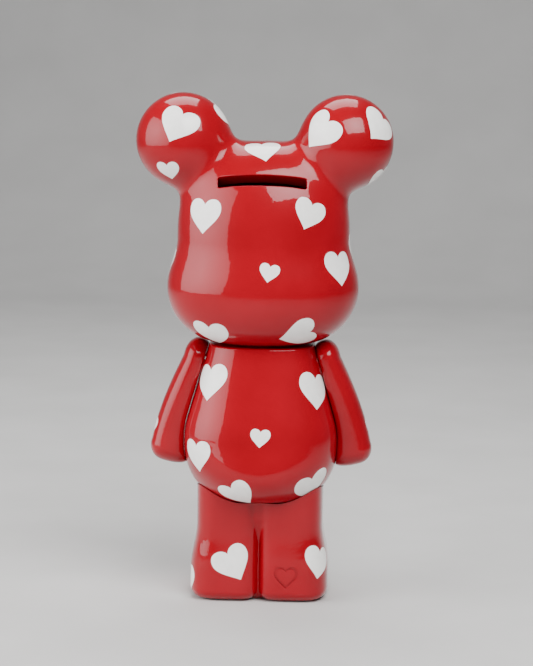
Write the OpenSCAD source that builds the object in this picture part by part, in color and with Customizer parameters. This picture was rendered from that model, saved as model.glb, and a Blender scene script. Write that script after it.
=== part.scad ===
// Bear figure with a coin slot: hollow moulded head, torso and legs on two
// open snap collars, two arms on shoulder pegs, and a stopper in the base.
// It stands on z = 0 and faces -Y. The figure's own left side is +X.
// Head, arms and torso turn. Lengths are in mm.

/* [Shells] */
// Wall of the moulded shells
wall = 4; // [3.5:0.1:4.5]
// Gap between two shells that turn on each other
shell_gap = 0.4; // [0.35:0.05:0.5]

/* [Head] */
// Half width of the head at the cheeks
cheek_r = 52.8; // [50.5:0.1:54]
// Depth of the head as a share of its width
head_depth = 0.8; // [0.77:0.01:0.84]
// Radius of each ear ball
ear_r = 26; // [24:0.5:27.5]
// Length of the coin slot
slot_l = 48; // [40:1:50]
// Width of the coin slot
slot_w = 6; // [5:0.1:7]

/* [Torso] */
// Radius of the belly at its widest
belly_r = 42.5; // [42:0.1:43.2]
// Tilt of the torso's sides, and of the shoulder axes with them
side_tilt = 16.1; // [15.8:0.1:16.4]

/* [Legs] */
// Half width over both legs at the knee
legs_half = 35; // [34:0.25:36.5]
// How far the feet reach forward of the middle
toe_reach = 40; // [36:0.5:44]
// Depth of the groove's floor behind the backs of the legs
groove_d = 6; // [4:0.5:7]

/* [Arms] */
// Distance from shoulder to the middle of the arm's end
arm_l = 47; // [43:0.5:50]
// Radius of the arm's end
hand_r = 9.8; // [9:0.1:10.4]

/* [Fittings] */
// Outer radius of the neck and waist collars
collar_r = 15; // [14.5:0.1:15.4]
// Radius of the shoulder pegs
peg_r = 4.5; // [4:0.1:5]
// Running clearance of a turning joint, on the radius
run_fit = 0.06; // [0.03:0.01:0.09]
// Radius of the hole that the base stopper closes
stopper_r = 14; // [13.6:0.1:14.6]

/* [Hidden] */
$fn = 96;
// head levels: bottom, widest cheek, foot of the crown, top
head_z0 = 142.5;
cheek_z = 173;
crown_z = 200;
head_z1 = 253.3;
chin_flat = 25;
crown_r = cheek_r - 5.4;
ear_pos = [44.5, 0, 253.5];
ear_dir = [-0.5476, 0, -0.8368];
ear_open = 23;
slot_z = 236;
slot_tilt = 28;
lip = 3.5;
// torso levels: underside, widest belly, end of the belly's arc, top
torso_top = head_z0 - shell_gap;
belly_z = 88;
belly_h = 36;
belly_round = 50;
seat_z = 56;
seat_flat = 21;
shoulder_z = 130;
shoulder_r = 29.5 + tan(side_tilt) * (140 - shoulder_z);
pad_r = 11;
pad_in = 7.5;
// legs
legs_z1 = 76;
leg_x = legs_half / 2;
leg_back = 23;
leg_front = 27;
leg_n = 3.2;
base_t = 5.5;
// collars: tube between two plates, a flange past each
collar_wall = 2;
flange_t = 2;
flange_out = 2.2;
flange_gap = 0.35;
collar_h = 2 * wall + shell_gap + 2 * flange_gap + 2 * flange_t;
// arms and pegs, out from the torso's side plane
arm_gap = 0.6;
arm_top_r = 12.8;
arm_top_in = 0.8;
hand_out = 5.6;
tip_a = 82;
socket_d = 6.4;
washer_r = 8.2;
washer_t = 1.8;
neck_cut = 1.2;
peg_tail = 2.4;
// stopper, set forward of the groove's foot
stopper_y = -7;
flange_z = 0.8;
seat_h = 2.8;
plug_h = 10;

function lerp(a, b, t) = a + (b - a) * t;
function spow(v, p) = sign(v) * pow(abs(v), p);

// Radius of a superellipse of exponent n, at height h of its half height
function super(r, h, n) = r * pow(max(0, 1 - pow(min(1, h), n)), 1 / n);

// Half section of the head, inset by t from the outside
function head_section(t) = concat(
    [[0, head_z0 + t]],
    [for (a = [0 : 11.25 : 78.75])
        [chin_flat + (cheek_r - chin_flat - t) * sin(a),
         cheek_z - (cheek_z - head_z0 - t) * cos(a)]],
    [for (i = [0 : 6])
        [crown_r - t + (cheek_r - crown_r) * (0.5 + 0.5 * cos(30 * i)),
         lerp(cheek_z, crown_z, i / 6)]],
    [for (a = [15 : 7.5 : 82.5])
        [(crown_r - t) * pow(cos(a), 0.8),
         crown_z + (head_z1 - crown_z - t) * pow(sin(a), 0.8)]],
    [[0, head_z1 - t]]
);

module head_body(t) {
    // the wall keeps its thickness in depth as well as in width
    depth = (cheek_r * head_depth - t) / (cheek_r - t);
    scale([1, depth, 1]) rotate_extrude() polygon(head_section(t));
}

// Half section of the torso, inset by t
function torso_section(t) = concat(
    [[0, seat_z + t], [seat_flat, seat_z + t]],
    [for (h = [0.86, 0.8, 0.7, 0.58, 0.44, 0.28, 0.12])
        [super(belly_r - t, h, 2.3), belly_z - (belly_h - t) * h]],
    [for (a = [0 : side_tilt / 4 : side_tilt])
        [belly_r - t - belly_round * (1 - cos(a)), belly_z + belly_round * sin(a)]],
    [for (a = [0 : 30 : 60])
        [side_at(torso_top - 2) - t - 2 + 2 * cos(a), torso_top - 2 - t + 2 * sin(a)]],
    [[side_at(torso_top - 2) - t - 2, torso_top - t], [0, torso_top - t]]
);

// Radius of the torso's straight side at height z
function side_at(z) = shoulder_r + tan(side_tilt) * (shoulder_z - z);

module torso_body(t) rotate_extrude() polygon(torso_section(t));

// The belly's underside grown by g, as the seat that the legs leave for it
module belly_seat(g)
    rotate_extrude($fn = 60) polygon(concat(
        [[0, seat_z - g], [seat_flat, seat_z - g]],
        [for (h = [0.86, 0.8, 0.7, 0.58, 0.44, 0.28, 0.12])
            [super(belly_r + g, h, 2.3), belly_z - (belly_h + g) * h]],
        [[belly_r + g, belly_z], [belly_r + g, belly_z + 30], [0, belly_z + 30]]
    ));

// Puts children at a shoulder: x runs down the arm, z out along its axis
module at_shoulder(side)
    mirror([side < 0 ? 1 : 0, 0, 0])
        translate([shoulder_r, 0, shoulder_z])
            rotate([0, 90 - side_tilt, 0])
                children();

// One closed skin over a stack of rings with the same number of points
module loft(rings) {
    n = len(rings[0]);
    m = len(rings);
    points = [for (ring = rings) each ring];
    sides = [for (k = [0 : m - 2], i = [0 : n - 1])
        let (j = (i + 1) % n)
            each [[k * n + i, (k + 1) * n + j, (k + 1) * n + i],
                  [k * n + i, k * n + j, (k + 1) * n + j]]];
    polyhedron(points, concat(
        sides,
        [[for (i = [n - 1 : -1 : 0]) i]],
        [[for (i = [0 : n - 1]) (m - 1) * n + i]]
    ));
}

// How far the legs spread towards the floor, and the round of the bottom edge
function spread(z) = 3 * pow(max(0, 1 - z / 48), 1.2);
function edge_round(z) = z < 5 ? 5 - sqrt(25 - pow(5 - z, 2)) : 0;
// The feet reach forward below the ankle
function toe(z) = (toe_reach - leg_front) * pow(max(0, cos(max(0, z - 8) * 4)), 0.7);

// The groove runs out towards the belly, where the waist collar needs the room
function groove(z) = lerp(groove_d, 1.6, min(1, max(0, (z - 32) / 14)));

// Outline of both legs at height z, inset by t: a rounded column each side
// of a groove down the back and the front
function legs_ring(z, t, m) =
    let (
        grow = spread(z) - edge_round(z),
        mid = leg_x + grow / 2,
        half = mid - t,
        // the groove's floor as a share of the depth, and where it meets the columns
        floor_at = 1 - groove(z) / leg_back,
        turn = 180 - asin(pow(floor_at, leg_n / 2)),
        front = leg_front + (z < 30 ? toe(z) : 0) - edge_round(z) - t,
        back = leg_back + spread(z) / 2 - edge_round(z) - t,
        right = [for (i = [0 : m - 1])
            let (a = turn * (1 - 2 * i / (m - 1)))
                [mid + half * spow(cos(a), 2 / leg_n),
                 (a < 0 ? front : back) * spow(sin(a), 2 / leg_n), z]]
    )
    concat(
        [[0, (back + t) * floor_at - t, z]], right,
        [[0, -(front + t) * floor_at + t, z]],
        [for (i = [m - 1 : -1 : 0]) [-right[i][0], right[i][1], z]]
    );

module legs_body(t, levels, m) loft([for (z = levels) legs_ring(z, t, m)]);

module head_shell() {
    color([0.78, 0.03, 0.05]) difference() {
        union() {
            head_body(0);
            for (side = [0, 1]) mirror([side, 0, 0]) ear(0);
            face();
        }
        difference() {
            head_body(wall);
            slot_lip();
        }
        for (side = [0, 1]) mirror([side, 0, 0]) ear_hollow();
        translate([0, 0, head_z0 - 1])
            cylinder(h = wall + 2, r = collar_r + run_fit);
        coin_cut(slot_l, slot_w, 16);
    }
}

module ear(t) {
    translate(ear_pos) sphere(r = ear_r);
    translate(ear_pos) rotate([0, 180 + atan(ear_dir[0] / ear_dir[2]), 0])
        translate([0, 0, ear_r * sin(ear_open)])
            cylinder(h = 22, r1 = ear_r * cos(ear_open),
                     r2 = ear_r * cos(ear_open) - 22 * tan(ear_open));
}

module ear_hollow() {
    translate(ear_pos) sphere(r = ear_r - wall);
    translate(ear_pos) rotate([0, 180 + atan(ear_dir[0] / ear_dir[2]), 0])
        cylinder(h = 38, r = 9);
}

// Low muzzle, nose and two eyes on the front
module face() {
    translate([0, -35.5, 166]) scale([19, 9, 13.5]) sphere(r = 1);
    translate([0, -42.4, 172]) scale([6, 3, 4.2]) sphere(r = 1);
    for (x = [-19, 19])
        translate([x, -37.2, 187]) sphere(r = 4);
}

// A box through the upper back, square to the slot's face
module coin_cut(l, w, d)
    translate([0, head_depth * crown_r * 0.83, slot_z])
        rotate([slot_tilt, 0, 0])
            cube([l, 2 * d, w], center = true);

// Thicker rim that stands into the head around the slot
module slot_lip()
    intersection() {
        coin_cut(slot_l + 10, slot_w + 9, 16);
        difference() {
            head_body(wall - 1);
            head_body(wall + lip);
        }
    }

module torso_shell() {
    color([0.78, 0.03, 0.05]) difference() {
        union() {
            difference() {
                torso_body(0);
                torso_body(wall);
            }
            for (side = [-1, 1]) at_shoulder(side)
                translate([0, 0, -pad_in]) cylinder(h = pad_in, r = pad_r);
        }
        for (side = [-1, 1]) at_shoulder(side)
            translate([0, 0, -pad_in - 1])
                cylinder(h = pad_in + 2, r = peg_r + run_fit);
        // the neck collar is pressed in, the waist collar runs
        translate([0, 0, torso_top - wall - 1]) cylinder(h = wall + 2, r = collar_r);
        translate([0, 0, seat_z - 1]) cylinder(h = wall + 2, r = collar_r + run_fit);
    }
}

module legs_shell() {
    seat_floor = seat_z - shell_gap;
    color([0.78, 0.03, 0.05]) difference() {
        union() {
            legs_body(0, [0, 0.4, 1.5, 3, 5, 9, 14, 19, 24, 32, 39, 46, legs_z1], 19);
            toes();
        }
        belly_seat(shell_gap);
        difference() {
            union() {
                legs_body(wall, [base_t, 9, 14, 20, 26, 32, 46, legs_z1 - 1], 15);
                translate([0, 0, 46]) cylinder(h = 10, r = collar_r + flange_out + 0.6);
            }
            belly_seat(shell_gap + wall);
        }
        translate([0, 0, seat_floor - wall - 1]) cylinder(h = wall + 2, r = collar_r);
        // hole and shallow recess for the stopper
        translate([0, stopper_y, -1]) cylinder(h = base_t + 2, r = stopper_r);
        translate([0, stopper_y, -1]) cylinder(h = 1 + seat_h, r = stopper_r + 3);
    }
}

// Three low toes on each foot
module toes()
    for (side = [-1, 1], i = [-1, 0, 1])
        translate([side * (leg_x + 1.5) + i * 9.5, -toe_reach + 4 + abs(i) * 2.5, 7])
            scale([5, 6.5, 5.5]) sphere(r = 1, $fn = 18);

// Outline of the arm bar about its own axis; each rounded end stops at a small flat
function bar_section(r0, r1, long) =
    let (taper = asin((r0 - r1) / long))
    concat(
        [[0, -r0 * sin(tip_a)]],
        [for (i = [0 : 9]) let (a = lerp(-tip_a, taper, i / 10)) [r0 * cos(a), r0 * sin(a)]],
        [for (i = [0 : 10]) let (a = lerp(taper, tip_a, i / 10))
            [r1 * cos(a), long + r1 * sin(a)]],
        [[0, long + r1 * sin(tip_a)]]
    );

// The bar is cut flat along the torso's side and bored for its peg
module arm(side) {
    dx = arm_l;
    dz = hand_out + arm_top_in;
    color([0.78, 0.03, 0.05]) at_shoulder(side) difference() {
        translate([0, 0, -arm_top_in]) rotate([0, atan2(dx, dz), 0])
            rotate_extrude()
                polygon(bar_section(arm_top_r, hand_r, sqrt(dx * dx + dz * dz)));
        translate([-40, -30, arm_gap - 60]) cube([120, 60, 60]);
        translate([0, 0, arm_gap - 1]) cylinder(h = 1 + socket_d, r = peg_r);
    }
}

module left_arm() arm(1);
module right_arm() arm(-1);

// Open collar: a tube that joins two plates, with a flange past each
module collar(z)
    color([0.88, 0.87, 0.84]) translate([0, 0, z]) difference() {
        union() {
            cylinder(h = collar_h, r = collar_r);
            cylinder(h = flange_t, r = collar_r + flange_out);
            translate([0, 0, collar_h - flange_t])
                cylinder(h = flange_t, r = collar_r + flange_out);
        }
        translate([0, 0, -1]) cylinder(h = collar_h + 2, r = collar_r - collar_wall);
    }

module neck_collar() collar(torso_top - wall - flange_gap - flange_t);
module waist_collar() collar(seat_z - shell_gap - wall - flange_gap - flange_t);

// Peg: a shank pressed into the arm, a groove for the clip, a short tail
module shoulder_peg(side)
    color([0.3, 0.3, 0.32]) at_shoulder(side) difference() {
        translate([0, 0, -pad_in - flange_gap - washer_t - peg_tail])
            cylinder(h = pad_in + flange_gap + washer_t + peg_tail + arm_gap + socket_d,
                     r = peg_r);
        translate([0, 0, -pad_in - flange_gap - washer_t]) difference() {
            cylinder(h = washer_t, r = peg_r + 1);
            translate([0, 0, -1]) cylinder(h = washer_t + 2, r = peg_r - neck_cut);
        }
    }

module left_shoulder_peg() shoulder_peg(1);
module right_shoulder_peg() shoulder_peg(-1);

// Spring clip that sits in the peg's groove, open on one side
module peg_clip(side)
    color([0.7, 0.72, 0.75]) at_shoulder(side)
        translate([0, 0, -pad_in - flange_gap - washer_t]) difference() {
            cylinder(h = washer_t, r = washer_r);
            translate([0, 0, -1]) cylinder(h = washer_t + 2, r = peg_r - neck_cut);
            translate([0, -(peg_r - neck_cut - 0.4), -1])
                cube([washer_r + 2, 2 * (peg_r - neck_cut - 0.4), washer_t + 2]);
        }

module left_peg_clip() peg_clip(1);
module right_peg_clip() peg_clip(-1);

// Soft stopper with a finger pocket, held above the floor
module base_stopper()
    color([0.12, 0.12, 0.13]) translate([0, stopper_y, 0]) difference() {
        union() {
            translate([0, 0, flange_z])
                cylinder(h = seat_h - flange_z - 0.3, r = stopper_r + 2.4);
            translate([0, 0, flange_z]) cylinder(h = plug_h - flange_z, r = stopper_r - 0.3);
        }
        translate([0, 0, seat_h]) cylinder(h = plug_h, r = stopper_r - 3);
        translate([0, 0, -1]) cylinder(h = 2.6, r = 5);
    }

head_shell();
torso_shell();
legs_shell();
left_arm();
right_arm();
neck_collar();
waist_collar();
left_shoulder_peg();
right_shoulder_peg();
left_peg_clip();
right_peg_clip();
base_stopper();
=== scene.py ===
"""Glossy red bear figure with a coin slot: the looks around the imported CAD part."""
import math
import bpy
import numpy as np
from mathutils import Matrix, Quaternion, Vector


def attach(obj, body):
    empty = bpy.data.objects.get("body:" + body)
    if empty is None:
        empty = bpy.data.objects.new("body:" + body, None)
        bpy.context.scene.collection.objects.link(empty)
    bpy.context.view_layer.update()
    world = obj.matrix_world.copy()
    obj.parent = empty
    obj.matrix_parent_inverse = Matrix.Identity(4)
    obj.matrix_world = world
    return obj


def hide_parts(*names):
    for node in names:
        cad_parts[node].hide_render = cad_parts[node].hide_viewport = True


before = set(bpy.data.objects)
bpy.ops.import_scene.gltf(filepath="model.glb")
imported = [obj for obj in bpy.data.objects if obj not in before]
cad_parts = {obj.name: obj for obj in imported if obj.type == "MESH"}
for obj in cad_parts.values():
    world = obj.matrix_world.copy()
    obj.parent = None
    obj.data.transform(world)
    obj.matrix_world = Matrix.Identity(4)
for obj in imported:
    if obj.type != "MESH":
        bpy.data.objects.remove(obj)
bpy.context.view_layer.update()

# ---------------------------------------------------------------- dimensions, mm
MM = 0.001
WALL, SHELL_GAP = 4.0, 0.4
# head: flat under the chin, widest at the cheeks, domed crown
HEAD_Z0, CHEEK_Z, CROWN_Z, HEAD_Z1 = 142.5, 173.0, 200.0, 253.3
CHIN_FLAT, CHEEK_R, CROWN_R = 21.5, 52.8, 47.4
HEAD_DEPTH, HEAD_PLAN = 0.8, 2.2
EAR_R, EAR_X, EAR_Z, EAR_BLEND = 26.0, 44.5, 253.2, 16.0
MUZZLE_AT, MUZZLE_R = (0, -35.5, 166), (19, 9, 13.5)
NOSE_AT, NOSE_R = (0, -42.6, 172), (6, 3.0, 4.2)
EYE_X, EYE_Y, EYE_Z, EYE_R = 19, -38.4, 187, (3.6, 2.2, 4.2)
# coin slot: a corner radius, a fine lip where it meets the skin, and the rim inside the head
SLOT_L, SLOT_W, SLOT_DEEP, SLOT_TILT = 48.0, 6.0, 17.0, math.radians(30)
SLOT_AT = np.array((0, 30.0, 235.0))
SLOT_CORNER, SLOT_LIP = 1.2, 0.6
RIM_END, RIM_SIDE, RIM_DEEP = 5.0, 4.5, 6.5
# torso: a body of revolution with a low round belly
TORSO_TOP, BELLY_R, BELLY_Z, BELLY_H, BELLY_ROUND, BELLY_N = 142.1, 42.5, 88.0, 36.0, 50.0, 2.6
SEAT_Z, SEAT_FLAT = 56.0, 21.0
# its plan turns from round, where it sits in the legs, to flatter and thinner above
PLAN_Z, PLAN_RISE, TORSO_THIN, TORSO_FLAT, TOP_R = 66.0, 26.0, 0.14, 0.9, 1.6
SHOULDER_Z, SIDE_TILT = 130.0, math.radians(16.1)
SHOULDER_X = 29.5 + math.tan(SIDE_TILT) * 10
# legs: two rounded columns with a groove between them
LEG_X, LEG_BACK, LEG_FRONT, TOE_REACH = 17.5, 23.0, 27.0, 40.0
LEG_N, LEG_INNER_N, GROOVE, EDGE_R = 3.2, 5.5, 6.0, 6.0
SPREAD, SPREAD_Z, SPREAD_H = 3.3, 42.0, 26.0
GROOVE_TOP, GROOVE_Z, GROOVE_H = 1.6, 32.0, 14.0
TOE_R, TOE_STEP, TOE_Z = (5, 6.5, 5.5), 9.5, 7.0
STOPPER_R, STOPPER_Y, BASE_T = 14.0, -7.0, 5.5
RECESS_OUT, RECESS_DEEP = 3, 2.8
# arms and fittings
ARM_GAP, PEG_R, COLLAR_R, FLANGE_OUT, FLANGE_FREE = 0.6, 4.5, 15.0, 2.2, 0.6
PAD_R, PAD_DEEP, SOCKET_DEEP = 11, 7.5, 5.8
# ends of the arm along its axis, its thickness at the shoulder and what it gains, its half
# breadth and what that loses, and the clearance from the torso's side
ARM_U0, ARM_U1, ARM_END_R = -12.8, 59.0, 9.0
ARM_THICK, ARM_SWELL, ARM_HALF, ARM_TAPER, ARM_RING = 11.9, 3.9, 13.0, 1.2, 2.4
ARM_FIT = 0.08
RUN_FIT = 0.06


# ---------------------------------------------------------------- shapes
# Each shape is a function of points that is negative inside and about a distance near the skin.
def smooth_min(a, b, k):
    h = np.maximum(k - np.abs(a - b), 0) / k
    return np.minimum(a, b) - h * h * h * k / 6


def smooth_max(a, b, k):
    return -smooth_min(-a, -b, k)


def round_max(a, b, r):
    """The overlap of two shapes, with its edge rounded to radius r."""
    corner = np.hypot(np.maximum(a + r, 0), np.maximum(b + r, 0))
    return np.minimum(np.maximum(a, b), -r) + corner


def ease(t):
    t = np.clip(t, 0, 1)
    return t * t * (3 - 2 * t)


def plan_radius(x, y, depth, n):
    return (np.abs(x) ** n + np.abs(y / depth) ** n) ** (1 / n)


def head_body(p, inset=0.0):
    x, y, z = p[..., 0], p[..., 1], p[..., 2]
    cheek, crown = CHEEK_R - inset, CROWN_R - inset
    depth = (CHEEK_R * HEAD_DEPTH - inset) / cheek - 0.07 * ease((z - 190) / 60)
    rho = plan_radius(x, y, depth, HEAD_PLAN)
    low_h, top_h = CHEEK_Z - HEAD_Z0 - inset, HEAD_Z1 - CROWN_Z - inset
    low = (np.hypot(np.maximum(rho - CHIN_FLAT, 0) / (cheek - CHIN_FLAT),
                    np.maximum(CHEEK_Z - z, 0) / low_h) - 1) * (cheek - CHIN_FLAT)
    t = np.clip((z - CHEEK_Z) / (CROWN_Z - CHEEK_Z), 0, 1)
    mid = rho - crown - (cheek - crown) * (0.5 + 0.5 * np.cos(np.pi * t))
    top = (((rho / crown) ** 2.5 + (np.maximum(z - CROWN_Z, 0) / top_h) ** 2.5) ** 0.4 - 1) * crown
    return np.where(z < CHEEK_Z, low, np.where(z < CROWN_Z, mid, top))


def ears(p, r):
    return np.sqrt((np.abs(p[..., 0]) - EAR_X) ** 2 + p[..., 1] ** 2 + (p[..., 2] - EAR_Z) ** 2) - r


def ball(p, centre, radii):
    q = (p - np.array(centre)) / np.array(radii)
    return (np.sqrt((q ** 2).sum(-1)) - 1) * min(radii)


def head(p):
    skin = smooth_min(head_body(p), ears(p, EAR_R), EAR_BLEND)
    return smooth_min(skin, ball(p, MUZZLE_AT, MUZZLE_R), 5)


def head_hollow(p):
    inner = smooth_min(head_body(p, WALL), ears(p, EAR_R - WALL), EAR_BLEND)
    # the rim around the slot stands into the hollow
    q = slot_frame(p)
    rim = np.maximum(np.abs(q[..., 0]) - SLOT_L / 2 - RIM_END,
                     np.abs(q[..., 1]) - SLOT_W / 2 - RIM_SIDE)
    rim = np.maximum(rim, -head_body(p, WALL + RIM_DEEP))
    return smooth_max(inner, -rim, 1.5)


def slot_frame(p):
    """Coordinates at the slot: along it, across it, and out of the head."""
    d = p - SLOT_AT
    c, s = math.cos(SLOT_TILT), math.sin(SLOT_TILT)
    return np.stack([d[..., 0], d[..., 2] * c - d[..., 1] * s, d[..., 1] * c + d[..., 2] * s], -1)


def side_at(z):
    return SHOULDER_X + np.tan(SIDE_TILT) * (SHOULDER_Z - z)


def belly_r(z, grow=0.0):
    """Radius of the torso at height z."""
    low = (BELLY_R + grow) * np.maximum(
        1 - (np.clip(BELLY_Z - z, 0, None) / (BELLY_H + grow)) ** BELLY_N, 1e-6) ** (1 / BELLY_N)
    arc_top = BELLY_Z + BELLY_ROUND * np.sin(SIDE_TILT)
    arc = BELLY_R + grow - BELLY_ROUND + np.sqrt(
        np.maximum(BELLY_ROUND ** 2 - np.clip(z - BELLY_Z, 0, BELLY_ROUND) ** 2, 0))
    return np.where(z < BELLY_Z, low, np.where(z < arc_top, arc, side_at(z) + grow))


def torso_plan(x, y, z):
    """Radius in plan: round where it sits in the legs, flatter front and back above."""
    t = ease((z - PLAN_Z) / PLAN_RISE)
    n = 2 + TORSO_FLAT * t
    return (np.abs(x) ** n + np.abs(y / (1 - TORSO_THIN * t)) ** n) ** (1 / n)


def torso(p):
    x, y, z = p[..., 0], p[..., 1], p[..., 2]
    return torso_plan(x, y, z) - belly_r(z)


def spread(z):
    """How much wider the legs stand at height z."""
    return SPREAD * ease((SPREAD_Z - z) / SPREAD_H)


def groove(z):
    """Depth of the groove between the legs at height z."""
    return GROOVE + (GROOVE_TOP - GROOVE) * np.clip((z - GROOVE_Z) / GROOVE_H, 0, 1)


def legs(p, inset=0.0):
    x, y, z = np.abs(p[..., 0]), p[..., 1], p[..., 2]
    z0 = np.maximum(z, 0)
    mid = LEG_X + spread(z0) / 2
    fall = np.radians(np.clip(z0 - 8, 0, 22.5) * 4)
    toe = (TOE_REACH - LEG_FRONT) * np.maximum(0, np.cos(fall)) ** 0.7
    deep = np.where(y < 0, LEG_FRONT + toe, LEG_BACK + spread(z0) / 2)
    # the columns are fuller towards the groove between them
    n = LEG_N + (LEG_INNER_N - LEG_N) * ease((mid - x) / 8)
    side = ((np.abs(x - mid) / (mid - inset)) ** n + (np.abs(y) / (deep - inset)) ** n) ** (1 / n)
    side = (side - 1) * (mid - inset)
    floor = np.maximum(np.abs(y) - deep * (1 - groove(z0) / LEG_BACK) + inset, x - 9)
    skin = smooth_min(side, floor, 1.2)
    if not inset:
        for i in (-1, 0, 1):
            toe_at = (LEG_X + 1.5 + TOE_STEP * i, -TOE_REACH + 4 + abs(i) * 2.5, TOE_Z)
            skin = smooth_min(skin, ball(np.stack([x, y, z], -1), toe_at, TOE_R), 3)
        return round_max(skin, -z, EDGE_R)
    return np.maximum(skin, BASE_T - z)


def arm_frame(p, side):
    """Coordinates at a shoulder: down the arm, across it, and out from the torso."""
    dx, dz = p[..., 0] * side - SHOULDER_X, p[..., 2] - SHOULDER_Z
    c, s = math.cos(SIDE_TILT), math.sin(SIDE_TILT)
    return dx * s - dz * c, p[..., 1], dx * c + dz * s


def torso_falls():
    """The least that the torso's side drops from straight, by distance from the shoulder axis."""
    reach = np.linspace(0, 76, 77)
    turn = np.radians(np.arange(0, 61, 4))
    u, v = reach[:, None] * np.cos(turn), reach[:, None] * np.sin(turn)
    c, s = math.cos(SIDE_TILT), math.sin(SIDE_TILT)
    low, high = np.full(u.shape, -1.0), np.full(u.shape, 40.0)
    for _ in range(30):
        fall = (low + high) / 2
        x, z = SHOULDER_X + u * s - fall * c, SHOULDER_Z - u * c - fall * s
        inside = torso(np.stack([x, v, z], -1)) < 0
        low, high = np.where(inside, low, fall), np.where(inside, fall, high)
    return reach, np.maximum(np.minimum.accumulate(high.min(1)[::-1])[::-1], 0)


REACH, FALL = torso_falls()


def arm(side):
    def shape(p):
        u, v, w = arm_frame(p, side)
        thick = ARM_THICK + ARM_SWELL * np.sin(np.pi / 2 * np.clip((u + 1) / 38, 0, 1.3))
        mid = thick * 0.4
        half_v = ARM_HALF - ARM_TAPER * ease(u / 50)
        # the inner face follows the torso's side, and keeps clear of it as the arm turns
        drop = np.interp(np.hypot(u, v), REACH, FALL)
        half_w = np.where(w > mid, thick - mid, mid + drop + 4)
        ring = np.abs(v / half_v) ** ARM_RING + np.abs((w - mid) / half_w) ** ARM_RING
        ring = ring ** (1 / ARM_RING)
        ends = np.abs(u - (ARM_U0 + ARM_U1) / 2) - (ARM_U1 - ARM_U0) / 2
        body = round_max((ring - 1) * 9.5, ends, ARM_END_R)
        return round_max(body, ARM_FIT - drop - w, 0.6)
    return shape


# ---------------------------------------------------------------- skins
def slope(shape, p, d=0.02):
    g = np.empty_like(p)
    for a in range(3):
        step = np.zeros(3)
        step[a] = d
        g[:, a] = (shape(p + step) - shape(p - step)) / (2 * d)
    return g


def settle(shape, p, rounds=6, level=0.0):
    """Moves points along the shape's slope onto its skin."""
    for _ in range(rounds):
        g = slope(shape, p)
        step = (shape(p) - level) / np.maximum((g * g).sum(1), 1e-3)
        p = p - g * np.clip(step, -2, 2)[:, None]
    return p


def skin_of(shape, low, high, cell):
    """Quads over the whole skin of a shape inside a box, one vertex per grid cell it crosses."""
    axes = [np.arange(a, b + cell, cell) for a, b in zip(low, high)]
    grid = np.stack(np.meshgrid(*axes, indexing="ij"), -1)
    value = shape(grid)
    inside = value < 0
    n = np.array(value.shape)
    total, count = np.zeros((*(n - 1), 3)), np.zeros(n - 1)
    crossings = []
    for a in range(3):
        near = [slice(None)] * 3
        far = [slice(None)] * 3
        near[a], far[a] = slice(0, -1), slice(1, None)
        near, far = tuple(near), tuple(far)
        cut = inside[near] != inside[far]
        at = np.argwhere(cut)
        v0, v1 = value[near][cut], value[far][cut]
        point = grid[near][cut]
        point[:, a] += cell * v0 / (v0 - v1)
        crossings.append((a, at, inside[near][cut]))
        b, c = (a + 1) % 3, (a + 2) % 3
        for db in (0, 1):
            for dc in (0, 1):
                to = at.copy()
                to[:, b] -= db
                to[:, c] -= dc
                ok = (to >= 0).all(1) & (to < n - 1).all(1)
                np.add.at(total, tuple(to[ok].T), point[ok])
                np.add.at(count, tuple(to[ok].T), 1)
    used = count > 0
    number = np.full(n - 1, -1)
    number[used] = np.arange(used.sum())
    points = total[used] / count[used][:, None]
    quads = []
    for a, at, first_in in crossings:
        b, c = (a + 1) % 3, (a + 2) % 3
        ring = []
        for db, dc in ((0, 0), (1, 0), (1, 1), (0, 1)):
            to = at.copy()
            to[:, b] -= db
            to[:, c] -= dc
            ring.append(number[tuple(to.T)])
        quad = np.stack(ring, 1)
        quad[~first_in] = quad[~first_in][:, ::-1]
        quads.append(quad)
    quads = np.concatenate(quads)
    points = settle(shape, points)
    edges = np.concatenate([quads[:, [i, (i + 1) % 4]] for i in range(4)])
    for _ in range(4):
        total, count = np.zeros_like(points), np.zeros(len(points))
        np.add.at(total, edges[:, 0], points[edges[:, 1]])
        np.add.at(count, edges[:, 0], 1)
        points = settle(shape, points * 0.5 + total / count[:, None] * 0.5, 3)
    return points, quads


def new_object(name, points, faces):
    mesh = bpy.data.meshes.new(name)
    mesh.from_pydata((np.asarray(points) * MM).tolist(), [], [list(map(int, f)) for f in faces])
    mesh.update()
    obj = bpy.data.objects.new(name, mesh)
    bpy.context.scene.collection.objects.link(obj)
    return obj


def revolve(name, section, steps=144):
    """A closed section turned about Z. Points are (radius, height), counter-clockwise."""
    section = np.array(section, float)
    turn = np.linspace(0, 2 * np.pi, steps, endpoint=False)
    m = len(section)
    r, height = section[:, 0], np.tile(section[:, 1], (steps, 1))
    points = np.stack([np.outer(np.cos(turn), r), np.outer(np.sin(turn), r), height], -1)
    faces = []
    for k in range(steps):
        here, after = k * m, (k + 1) % steps * m
        faces += [(here + i, after + i, after + (i + 1) % m, here + (i + 1) % m)
                  for i in range(m)]
    return new_object(name, points.reshape(-1, 3), faces)


def rod(name, r, h, base=(0, 0, 0), lean=0.0, steps=64):
    """A closed cylinder from its base, leaning about Y."""
    turn = np.linspace(0, 2 * np.pi, steps, endpoint=False)
    ring = np.stack([r * np.cos(turn), r * np.sin(turn), 0 * turn], 1)
    points = np.concatenate([ring, ring + (0, 0, h)])
    c, s = math.cos(lean), math.sin(lean)
    points = points @ np.array([[c, 0, -s], [0, 1, 0], [s, 0, c]]) + np.array(base)
    faces = [(i, (i + 1) % steps, steps + (i + 1) % steps, steps + i) for i in range(steps)]
    faces += [tuple(range(steps - 1, -1, -1)), tuple(range(steps, 2 * steps))]
    return new_object(name, points, faces)


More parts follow.
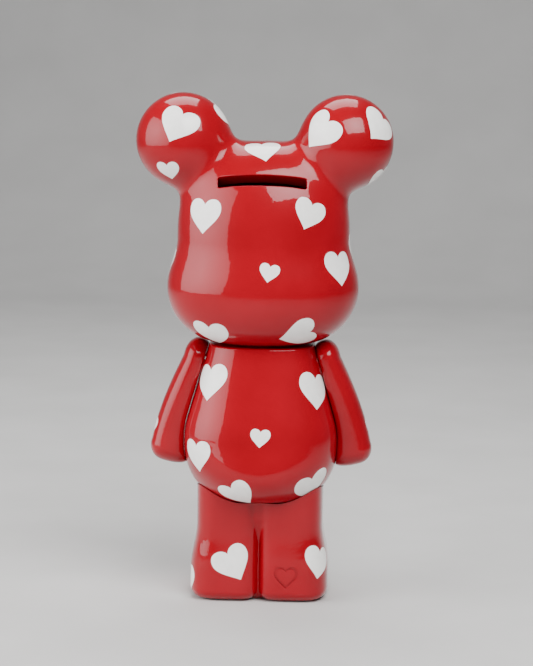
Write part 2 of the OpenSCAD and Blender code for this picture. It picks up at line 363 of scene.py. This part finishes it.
def combine(obj, other, operation="DIFFERENCE"):
    """Cuts other from obj, or joins it on, and drops other."""
    mod = obj.modifiers.new("cut", "BOOLEAN")
    mod.operation, mod.solver, mod.object = operation, "EXACT", other
    bpy.context.view_layer.update()
    graph = bpy.context.evaluated_depsgraph_get()
    made = bpy.data.meshes.new_from_object(obj.evaluated_get(graph))
    obj.modifiers.clear()
    old, obj.data = obj.data, made
    made.name = obj.name
    bpy.data.meshes.remove(old)
    bpy.data.objects.remove(other)
    return obj


def dress_normals(obj, shape, sharp=35):
    """Smooth shading, with the shape's own normals wherever a face lies on its skin."""
    mesh = obj.data
    mesh.polygons.foreach_set("use_smooth", [True] * len(mesh.polygons))
    mesh.set_sharp_from_angle(angle=math.radians(sharp))
    points = np.empty(len(mesh.vertices) * 3)
    mesh.vertices.foreach_get("co", points)
    points = points.reshape(-1, 3) / MM
    on_skin = np.abs(shape(points)) < 0.02
    g = slope(shape, points)
    g /= np.linalg.norm(g, axis=1)[:, None]
    normals = np.empty(len(mesh.loops) * 3, np.float32)
    mesh.corner_normals.foreach_get("vector", normals)
    normals = normals.reshape(-1, 3)
    at = np.empty(len(mesh.loops), np.int32)
    mesh.loops.foreach_get("vertex_index", at)
    size = np.empty(len(mesh.polygons), np.int32)
    mesh.polygons.foreach_get("loop_total", size)
    face = np.repeat(np.arange(len(size)), size)
    all_on = np.ones(len(size), bool)
    np.logical_and.at(all_on, face, on_skin[at])
    flat = np.empty(len(size) * 3, np.float32)
    mesh.polygon_normals.foreach_get("vector", flat)
    agree = (g[at] * flat.reshape(-1, 3)[face]).sum(1) > 0.7
    use = all_on[face] & agree
    normals[use] = g[at][use]
    mesh.normals_split_custom_set(normals.tolist())


# ---------------------------------------------------------------- pieces
def section_of_torso():
    hole_low, hole_top = COLLAR_R + RUN_FIT, COLLAR_R
    outside = [(hole_low, SEAT_Z + 0.4), (hole_low + 0.4, SEAT_Z), (SEAT_FLAT, SEAT_Z)]
    for h in np.linspace(0.86, 0.02, 30):
        z = BELLY_Z - BELLY_H * h
        outside.append((float(belly_r(z)), z))
    for z in np.linspace(BELLY_Z, TORSO_TOP - TOP_R, 46):
        outside.append((float(belly_r(z)), z))
    rim = float(belly_r(TORSO_TOP - TOP_R)) - TOP_R
    for a in np.radians(np.arange(SIDE_TILT * 57.3, 91, 9)):
        outside.append((rim + TOP_R * math.cos(a), TORSO_TOP - TOP_R + TOP_R * math.sin(a)))
    inside = [(hole_top, TORSO_TOP), (hole_top, TORSO_TOP - WALL), (rim - 3, TORSO_TOP - WALL)]
    for z in np.linspace(TORSO_TOP - WALL - 2, BELLY_Z, 12):
        inside.append((float(belly_r(z)) - WALL, z))
    for h in (0.2, 0.4, 0.55, 0.7, 0.8):
        inside.append((float(belly_r(BELLY_Z - BELLY_H * h)) - WALL,
                       BELLY_Z - (BELLY_H - WALL) * h))
    return outside + inside + [(SEAT_FLAT, SEAT_Z + WALL), (hole_low, SEAT_Z + WALL)]


def seat_height(rho, grow):
    """Height of the belly's underside, lowered by grow, over the point at radius rho."""
    part = np.clip(rho / (BELLY_R + grow), 0, 0.999) ** BELLY_N
    curve = BELLY_Z - (BELLY_H + grow) * (1 - part) ** (1 / BELLY_N)
    return np.where(rho < SEAT_FLAT, SEAT_Z - grow, np.maximum(curve, SEAT_Z - grow))


def at_shoulder(side, w):
    """A point on the shoulder axis, w out from the torso's side plane."""
    return (side * (SHOULDER_X + w * math.cos(SIDE_TILT)), 0, SHOULDER_Z + w * math.sin(SIDE_TILT))


def shoulder_rod(name, side, r, w0, w1):
    return rod(name, r, w1 - w0, at_shoulder(side, w0), side * (math.pi / 2 - SIDE_TILT))


def slot_cutter():
    """The slot's outline carried down into the head, with a small round where it meets the skin."""
    outline, r, lip = [], SLOT_CORNER, SLOT_LIP
    for cx, cy, a0 in ((1, 1, 0), (-1, 1, 90), (-1, -1, 180), (1, -1, 270)):
        for a in np.radians(np.arange(a0, a0 + 91, 18)):
            outline.append((cx * (SLOT_L / 2 - r), cy * (SLOT_W / 2 - r),
                            math.cos(a), math.sin(a)))
    outline = np.array(outline)
    dense = []
    for i in range(len(outline)):
        a, b = outline[i], outline[(i + 1) % len(outline)]
        steps = max(1, int(abs(a[0] - b[0]) / 1.5))
        dense += [a + (b - a) * k / steps for k in range(steps)]
    outline = np.array(dense)
    c, s = math.cos(SLOT_TILT), math.sin(SLOT_TILT)
    out = np.array((0, c, s))
    across = np.array((0, -s, c))
    rings = []
    # how far the outline is grown at each level, and the level's height over the skin
    levels = [(lip + 0.1, 4.0), (lip + 0.02, 0.3)]
    levels += [(lip * (1 - math.sin(a)), -lip * (1 - math.cos(a)))
               for a in np.radians((0.5, 20, 40, 60, 75, 90))]
    levels += [(0, -2.5), (0, -SLOT_DEEP)]
    for grow, depth in levels:
        a = outline[:, 0] + outline[:, 2] * (r + grow)
        b = outline[:, 1] + outline[:, 3] * (r + grow)
        foot = SLOT_AT + a[:, None] * np.array((1, 0, 0)) + b[:, None] * across
        low, high = np.full(len(a), -25.0), np.full(len(a), 25.0)
        for _ in range(40):
            mid = (low + high) / 2
            inside = head(foot + mid[:, None] * out) < 0
            low, high = np.where(inside, mid, low), np.where(inside, high, mid)
        rings.append(foot + (low + depth)[:, None] * out)
    n = len(outline)
    points = np.concatenate(rings)
    faces = [(k * n + i, k * n + (i + 1) % n, (k + 1) * n + (i + 1) % n, (k + 1) * n + i)
             for k in range(len(rings) - 1) for i in range(n)]
    faces += [tuple(range(n - 1, -1, -1)), tuple(range(len(points) - n, len(points)))]
    return new_object("slot_cutter", points, faces)


def make_head():
    obj = new_object("head", *skin_of(head, (-73, -56, 140), (73, 46, 282), 1.6))
    combine(obj, new_object("hollow", *skin_of(head_hollow, (-70, -52, 144), (70, 42, 278), 2.6)))
    combine(obj, rod("neck", COLLAR_R + RUN_FIT, WALL + 4, (0, 0, HEAD_Z0 - 2), steps=128))
    combine(obj, slot_cutter())
    dress_normals(obj, head)
    return obj


def flatten_plan(obj):
    """Carries the turned torso onto its plan, away from the round holes in its middle."""
    mesh = obj.data
    p = np.empty(len(mesh.vertices) * 3)
    mesh.vertices.foreach_get("co", p)
    p = p.reshape(-1, 3) / MM
    r = np.hypot(p[:, 0], p[:, 1])
    pull = r / torso_plan(p[:, 0], p[:, 1], p[:, 2]) - 1
    p[:, :2] *= (1 + pull * ease((r - COLLAR_R - 1) / 8))[:, None]
    mesh.vertices.foreach_set("co", (p * MM).ravel())
    mesh.update()


def make_torso():
    obj = revolve("torso", section_of_torso(), 192)
    flatten_plan(obj)
    for side in (-1, 1):
        combine(obj, shoulder_rod("pad", side, PAD_R, -PAD_DEEP, 0), "UNION")
        combine(obj, shoulder_rod("bore", side, PEG_R + RUN_FIT, -9, 2))
    dress_normals(obj, torso)
    return obj


def make_legs():
    def column(p):
        return np.maximum(legs(p), p[..., 2] - 74)

    def hollow(p):
        rho = np.hypot(p[..., 0], p[..., 1])
        under = p[..., 2] - seat_height(rho, SHELL_GAP + WALL)
        shaft = np.maximum(rho - COLLAR_R - FLANGE_OUT - FLANGE_FREE, 44 - p[..., 2])
        return np.maximum(smooth_min(legs(p, WALL), shaft, 1.0), under)

    obj = new_object("legs", *skin_of(column, (-40, -46, -2), (40, 28, 77), 1.0))
    seat = [(10, 90), (10, SEAT_Z - SHELL_GAP), (SEAT_FLAT, SEAT_Z - SHELL_GAP)]
    seat += [(r, float(seat_height(r, SHELL_GAP)))
             for r in np.linspace(SEAT_FLAT + 2, BELLY_R - 1, 24)]
    seat += [(60, BELLY_Z), (60, 90)]
    combine(obj, revolve("seat", seat))
    combine(obj, rod("bore", COLLAR_R, 60, (0, 0, 46), steps=128))
    combine(obj, new_object("hollow", *skin_of(hollow, (-36, -42, 3), (36, 24, 70), 2.2)))
    combine(obj, rod("hole", STOPPER_R, 12, (0, STOPPER_Y, -4), steps=96))
    combine(obj, rod("recess", STOPPER_R + RECESS_OUT, 4 + RECESS_DEEP,
                     (0, STOPPER_Y, -4), steps=96))
    combine(obj, mark_cutter())
    dress_normals(obj, legs)
    return obj


def make_arm(name, side):
    xs = sorted((side * 25, side * 65))
    obj = new_object(name, *skin_of(arm(side), (xs[0], -16, 68), (xs[1], 16, 147), 0.9))
    combine(obj, shoulder_rod("socket", side, PEG_R, ARM_GAP - 3, ARM_GAP + SOCKET_DEEP))
    dress_normals(obj, arm(side))
    return obj


# ---------------------------------------------------------------- hearts
def heart_outline(n):
    """A full heart one unit wide: notch at the first point, tip half way round."""
    spans = (((0, 0.28), (0.05, 0.38), (0.14, 0.44), (0.26, 0.44)),
             ((0.26, 0.44), (0.41, 0.44), (0.50, 0.33), (0.50, 0.17)),
             ((0.50, 0.17), (0.50, -0.08), (0.20, -0.27), (0, -0.49)))
    t = np.linspace(0, 1, 60)[:, None]
    u = 1 - t
    half = np.concatenate([u ** 3 * a + 3 * t * u ** 2 * b + 3 * t * t * u * c + t ** 3 * d
                           for a, b, c, d in np.array(spans)])
    way = np.concatenate([[0], np.cumsum(np.hypot(*np.diff(half, axis=0).T))])
    at = np.linspace(0, way[-1], n // 2 + 1)
    left = np.stack([-np.interp(at, way, half[:, 0]), np.interp(at, way, half[:, 1])], 1)
    return np.concatenate([left, (left * (-1, 1))[-2:0:-1]])


def heart_rings(shape, spot, size, lean, rings=9, n=96):
    """Walks out over the skin from a spot, so that a heart keeps its shape as it wraps."""
    centre = settle(shape, np.array([spot], float), 12)
    out = slope(shape, centre)[0]
    out /= np.linalg.norm(out)
    up = np.array((0, 0, 1.0)) - out * out[2]
    up /= np.linalg.norm(up)
    left = np.cross(up, out)
    a = math.radians(lean)
    up, left = up * math.cos(a) + left * math.sin(a), left * math.cos(a) - up * math.sin(a)
    flat = heart_outline(n) * size
    reach = np.linalg.norm(flat, axis=1)
    way = (flat[:, :1] * left + flat[:, 1:] * up) / reach[:, None]
    point = np.repeat(centre, n, 0)
    made = []
    for _ in range(rings):
        g = slope(shape, point)
        g /= np.linalg.norm(g, axis=1)[:, None]
        way = way - g * (way * g).sum(1)[:, None]
        way /= np.linalg.norm(way, axis=1)[:, None]
        point = settle(shape, point + way * (reach / rings)[:, None], 3)
        made.append(point)
    return centre, made


def raised(shape, p, height):
    g = slope(shape, p)
    return p + g / np.linalg.norm(g, axis=1)[:, None] * height


def hearts(name, shape, spots, proud=0.06, deep=0.3):
    """Thin closed prints for one shell, each laid on its skin."""
    points, faces, base = [], [], 0
    for x, y, z, size, lean in spots:
        rings = 9 if size > 14 else 6
        n = 96 if size > 14 else 64
        centre, walk = heart_rings(shape, (x, y, z), size, lean, rings, n)
        points += [raised(shape, q, proud) for q in [centre] + walk]
        points += [raised(shape, walk[-1], -deep), raised(shape, centre, -deep)]
        first = base + 1
        for i in range(n):
            j = (i + 1) % n
            faces.append((base, first + i, first + j))
            for k in range(rings):
                faces.append((first + k * n + i, first + (k + 1) * n + i,
                              first + (k + 1) * n + j, first + k * n + j))
            under, middle = first + rings * n, first + (rings + 1) * n
            faces.append((under + i, middle, under + j))
        base += 2 + (rings + 1) * n
    obj = new_object(name, np.concatenate(points), faces)
    mesh = obj.data
    mesh.polygons.foreach_set("use_smooth", [True] * len(mesh.polygons))
    mesh.set_sharp_from_angle(angle=math.radians(40))
    return obj


def mark_cutter():
    """A small heart outline pressed into the back of the right leg."""
    _, walk = heart_rings(legs, (-15.5, 24, 15), 13, 0, 10, 72)
    outer, inner = walk[9], walk[7]
    n = len(outer)
    points = np.concatenate([raised(legs, outer, 0.8), raised(legs, inner, 0.8),
                             raised(legs, inner, -0.6), raised(legs, outer, -0.6)])
    faces = []
    for k in range(4):
        here, after = k * n, (k + 1) % 4 * n
        faces += [(here + i, here + (i + 1) % n, after + (i + 1) % n, after + i)
                  for i in range(n)]
    return new_object("mark", points, faces)


# Each heart: x, y, z of a point near the skin, its width, and how far its top leans to the right
# as seen from outside, in degrees
BIG, MID, SMALL = 22, 20, 11.5
HEAD_HEARTS = [
    # left ear
    (46, 24, 264, BIG, 23), (51, 20, 238, 13, -4), (23, -3, 268, BIG, -22),
    (56, -19, 266, BIG, 18), (36, -23, 246, SMALL, -20), (66, -13, 246, SMALL, 25),
    (48, -8, 278, SMALL, 10),
    # right ear
    (-31, 20, 261, 23, 34), (-63, 15, 264, BIG, 53), (-62, 5, 234, 16, -7),
    (-46, -24, 262, BIG, -14), (-64, -14, 247, SMALL, 12), (-42, -12, 275, MID, 30),
    # back of the head
    (0, 16, 250, 19.5, -11), (31, 28, 215, 20.5, -1), (-26, 31, 217, 18, 23),
    (-5, 40, 186, 11, 11), (-42, 23, 187, 20.5, 4), (-49, -3, 195, 19, 0),
    (50, -1, 186, 21, 0), (26, 27, 150, 21.5, 5), (-21, 31, 151, BIG, 70),
    # sides and front of the head
    (46, -20, 216, BIG, -14), (47, -22, 164, MID, 20),
    (-44, -24, 224, BIG, 16), (-48, -20, 168, BIG, -18),
    (0, -34, 228, BIG, -10), (22, -36, 205, SMALL, 14), (-26, -36, 204, SMALL, -16),
    (20, -30, 149, BIG, -24), (-16, -33, 151, SMALL, 12), (4, -12, 252, SMALL, 16),
]
TORSO_HEARTS = [
    (27, 22, 123, BIG, -7), (-30, 21, 119, BIG, 13), (33, 27, 83, 19.5, -1),
    (-1, 37, 95, 11, 4), (11, 33, 62, 21, -27), (-29, 24, 66, 22.5, -26),
    (-15, -29, 122, BIG, 12), (20, -32, 104, BIG, -14), (-8, -37, 92, SMALL, 6),
    (-32, -24, 86, MID, -10), (30, -28, 78, SMALL, 18), (4, -36, 68, BIG, -20),
    (-34, -18, 66, SMALL, 25),
]
LEGS_HEARTS = [
    (14, 24, 22, 21, -28), (-34, 20, 23, 19.5, 14), (38, 9, 10, MID, 4),
    (20, -27, 44, MID, 14), (-18, -40, 22, BIG, -16), (33, -28, 20, MID, -20),
    (-34, -14, 42, SMALL, 10), (9, -37, 20, SMALL, 8), (-12, -26, 50, SMALL, -12),
    (-36, -18, 18, SMALL, 15),
]
LEFT_ARM_HEARTS = [(59, 1, 95, 12, 12), (46, -12, 118, SMALL, -12), (52, -11, 90, SMALL, 20)]
RIGHT_ARM_HEARTS = [(-59, -3, 95, 12, 0), (-46, -12, 126, SMALL, 14), (-52, -11, 98, SMALL, -16)]


# ---------------------------------------------------------------- materials
def material(name):
    mat = bpy.data.materials.new(name)
    mat.use_nodes = True
    nodes, links = mat.node_tree.nodes, mat.node_tree.links
    return mat, nodes, links, nodes["Principled BSDF"]


def noise(nodes, links, scale, detail=2.0, rough=0.5):
    coords = nodes.new("ShaderNodeTexCoord")
    tex = nodes.new("ShaderNodeTexNoise")
    tex.inputs["Scale"].default_value = scale
    tex.inputs["Detail"].default_value = detail
    tex.inputs["Roughness"].default_value = rough
    links.new(coords.outputs["Object"], tex.inputs["Vector"])
    return tex.outputs["Fac"]


def ramp(nodes, links, value, stops):
    node = nodes.new("ShaderNodeValToRGB")
    while len(node.color_ramp.elements) < len(stops):
        node.color_ramp.elements.new(0.5)
    for element, (at, colour) in zip(node.color_ramp.elements, stops):
        element.position, element.color = at, (*colour, 1)
    links.new(value, node.inputs["Fac"])
    return node.outputs["Color"]


def span(nodes, links, value, low, high):
    node = nodes.new("ShaderNodeMapRange")
    node.inputs["To Min"].default_value = low
    node.inputs["To Max"].default_value = high
    links.new(value, node.inputs["Value"])
    return node.outputs["Result"]


def bump(nodes, links, height, strength, distance):
    node = nodes.new("ShaderNodeBump")
    node.inputs["Strength"].default_value = strength
    node.inputs["Distance"].default_value = distance
    links.new(height, node.inputs["Height"])
    return node.outputs["Normal"]


def lacquer(name, dark, light, mottle):
    """Colour under a thick clear coat with the faint waviness of sprayed lacquer."""
    mat, nodes, links, bsdf = material(name)
    tone = ramp(nodes, links, noise(nodes, links, mottle, 3), ((0.3, dark), (0.7, light)))
    links.new(tone, bsdf.inputs["Base Color"])
    links.new(span(nodes, links, noise(nodes, links, 900, 2), 0.26, 0.36), bsdf.inputs["Roughness"])
    bsdf.inputs["Specular IOR Level"].default_value = 0.05
    bsdf.inputs["Coat Weight"].default_value = 1.0
    bsdf.inputs["Coat Roughness"].default_value = 0.035
    bsdf.inputs["Coat IOR"].default_value = 1.36
    peel = bump(nodes, links, noise(nodes, links, 420, 1.5, 0.4), 0.18, 0.0002)
    links.new(peel, bsdf.inputs["Coat Normal"])
    return mat


def plastic(name, dark, light, rough, scale, depth, metal=0.0):
    mat, nodes, links, bsdf = material(name)
    grain = noise(nodes, links, scale, 4)
    links.new(ramp(nodes, links, grain, ((0.3, dark), (0.7, light))), bsdf.inputs["Base Color"])
    links.new(span(nodes, links, noise(nodes, links, scale * 0.3, 3), rough, rough + 0.15),
              bsdf.inputs["Roughness"])
    bsdf.inputs["Metallic"].default_value = metal
    links.new(bump(nodes, links, grain, 0.4, depth), bsdf.inputs["Normal"])
    return mat


red = lacquer("red_lacquer", (0.265, 0.0001, 0.006), (0.31, 0.0002, 0.008), 30)
white = lacquer("white_print", (0.88, 0.87, 0.84), (0.94, 0.93, 0.90), 260)
black = lacquer("black_gloss", (0.006, 0.006, 0.007), (0.014, 0.013, 0.014), 60)
collar_abs = plastic("collar_abs", (0.62, 0.60, 0.54), (0.74, 0.72, 0.66), 0.35, 500, 0.00005)
peg_nylon = plastic("peg_nylon", (0.03, 0.03, 0.035), (0.06, 0.06, 0.065), 0.45, 700, 0.00004)
clip_steel = plastic("clip_steel", (0.45, 0.45, 0.47), (0.62, 0.62, 0.64), 0.25, 900, 0.00002, 1.0)
rubber = plastic("stopper_rubber", (0.012, 0.012, 0.012), (0.03, 0.03, 0.03), 0.6, 600, 0.0001)


def wear(obj, mat):
    obj.data.materials.clear()
    obj.data.materials.append(mat)


def place(obj, body, mat, slot, *nodes):
    wear(obj, mat)
    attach(obj, body)
    if nodes:
        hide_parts(*nodes)
    return obj


def feature(name, centre, radii, squash=2.4):
    """A soft pillow-shaped moulding, for the nose and the eyes."""
    def shape(p):
        q = np.abs((p - np.array(centre)) / np.array(radii))
        return ((q ** squash).sum(-1) ** (1 / squash) - 1) * min(radii)
    low = [c - r - 1 for c, r in zip(centre, radii)]
    high = [c + r + 1 for c, r in zip(centre, radii)]
    obj = new_object(name, *skin_of(shape, low, high, 0.45))
    dress_normals(obj, shape)
    return obj


place(make_head(), "head", red, "lacquer", "head_shell")
place(feature("nose", NOSE_AT, NOSE_R), "head", black, "lacquer")
for side, name in ((1, "left_eye"), (-1, "right_eye")):
    place(feature(name, (EYE_X * side, EYE_Y, EYE_Z), EYE_R), "head", black, "lacquer")
place(make_torso(), "torso", red, "lacquer", "torso_shell")
place(make_legs(), "legs", red, "lacquer", "legs_shell")
place(make_arm("arm_left", 1), "left_arm_body", red, "lacquer", "left_arm")
place(make_arm("arm_right", -1), "right_arm_body", red, "lacquer", "right_arm")
for name, shape, spots, body in (("head_hearts", head, HEAD_HEARTS, "head"),
                                 ("torso_hearts", torso, TORSO_HEARTS, "torso"),
                                 ("legs_hearts", legs, LEGS_HEARTS, "legs"),
                                 ("left_arm_hearts", arm(1), LEFT_ARM_HEARTS, "left_arm_body"),
                                 ("right_arm_hearts", arm(-1), RIGHT_ARM_HEARTS, "right_arm_body")):
    place(hearts(name, shape, spots), body, white, "lacquer")

for node, mat in (("neck_collar", collar_abs), ("waist_collar", collar_abs),
                  ("left_shoulder_peg", peg_nylon), ("right_shoulder_peg", peg_nylon),
                  ("left_peg_clip", clip_steel), ("right_peg_clip", clip_steel),
                  ("base_stopper", rubber)):
    wear(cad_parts[node], mat)


# ---------------------------------------------------------------- stage
def make_floor():
    """A pale sweep: flat floor that curves up behind the figure."""
    reach, rise, r = 1.6, 1.3, 0.5
    profile = [(reach, 0.0), (-reach + r, 0.0)]
    profile += [(-reach + r - r * math.sin(a), r - r * math.cos(a))
                for a in np.radians(np.arange(6, 91, 6))]
    profile.append((-reach, rise))
    points = [(x * 2.2, y, z) for x in (-1, 1) for y, z in profile]
    n = len(profile)
    faces = [(i, i + 1, n + i + 1, n + i) for i in range(n - 1)]
    obj = new_object("floor", np.array(points) / MM, faces)
    obj.data.polygons.foreach_set("use_smooth", [True] * len(faces))
    mat, nodes, links, bsdf = material("pale_paper")
    tone = ramp(nodes, links, noise(nodes, links, 14, 3),
                ((0.3, (0.50, 0.495, 0.485)), (0.7, (0.54, 0.535, 0.525))))
    links.new(tone, bsdf.inputs["Base Color"])
    bsdf.inputs["Roughness"].default_value = 0.75
    wear(obj, mat)


def softbox(name, place_at, size, power, beam, target=(0, 0, 0.16)):
    """A rectangular light aimed at the figure, with its beam narrowed by a grid."""
    light = bpy.data.lights.new(name, "AREA")
    light.spread = math.radians(beam)
    light.shape, light.size, light.size_y, light.energy = "RECTANGLE", size[0], size[1], power
    obj = bpy.data.objects.new(name, light)
    obj.location = place_at
    obj.rotation_euler = (Vector(target) - Vector(place_at)).to_track_quat("-Z", "Y").to_euler()
    bpy.context.scene.collection.objects.link(obj)


make_floor()
softbox("key_left", (0.95, 0.42, 0.50), (1.5, 1.0), 11.5, 110)
softbox("key_right", (-0.36, 0.66, 0.98), (0.85, 0.7), 9, 110)
softbox("top", (0.1, -0.5, 1.3), (0.9, 0.7), 13, 180)

# the room is brightest at the floor's edge, so no hard horizon shows in the gloss
world = bpy.data.worlds.new("studio")
bpy.context.scene.world = world
world.use_nodes = True
nodes, links = world.node_tree.nodes, world.node_tree.links
split = nodes.new("ShaderNodeSeparateXYZ")
links.new(nodes.new("ShaderNodeTexCoord").outputs["Generated"], split.inputs["Vector"])
room = ramp(nodes, links, span(nodes, links, split.outputs["Z"], 0, 1),
            ((0.0, (0.17, 0.17, 0.18)), (0.12, (0.16, 0.16, 0.17)),
             (0.5, (0.08, 0.08, 0.09)), (1.0, (0.06, 0.06, 0.07))))
links.new(room, nodes["Background"].inputs["Color"])
nodes["Background"].inputs["Strength"].default_value = 1.0

camera = bpy.data.objects.new("camera", bpy.data.cameras.new("camera"))
bpy.context.scene.collection.objects.link(camera)
bpy.context.scene.camera = camera
# the photo's camera, in metres: behind the figure, a little above it and to its right
CAMERA_FAR, AIM, VIEW_HEIGHT = 1.6, Vector((-0.0022, 0, 0.147)), 0.36763
CAMERA_UP, CAMERA_TURN, CAMERA_ROLL = math.radians(9), math.radians(2.5), math.radians(0.7)
away = Vector((-math.sin(CAMERA_TURN) * math.cos(CAMERA_UP),
               math.cos(CAMERA_TURN) * math.cos(CAMERA_UP), math.sin(CAMERA_UP)))
camera.location = AIM + away * CAMERA_FAR
aimed = (-away).to_track_quat("-Z", "Y")
camera.rotation_euler = (aimed @ Quaternion((0, 0, 1), CAMERA_ROLL)).to_euler()
camera.data.sensor_fit = "VERTICAL"
camera.data.sensor_height = 24
camera.data.lens = camera.data.sensor_height * CAMERA_FAR / VIEW_HEIGHT
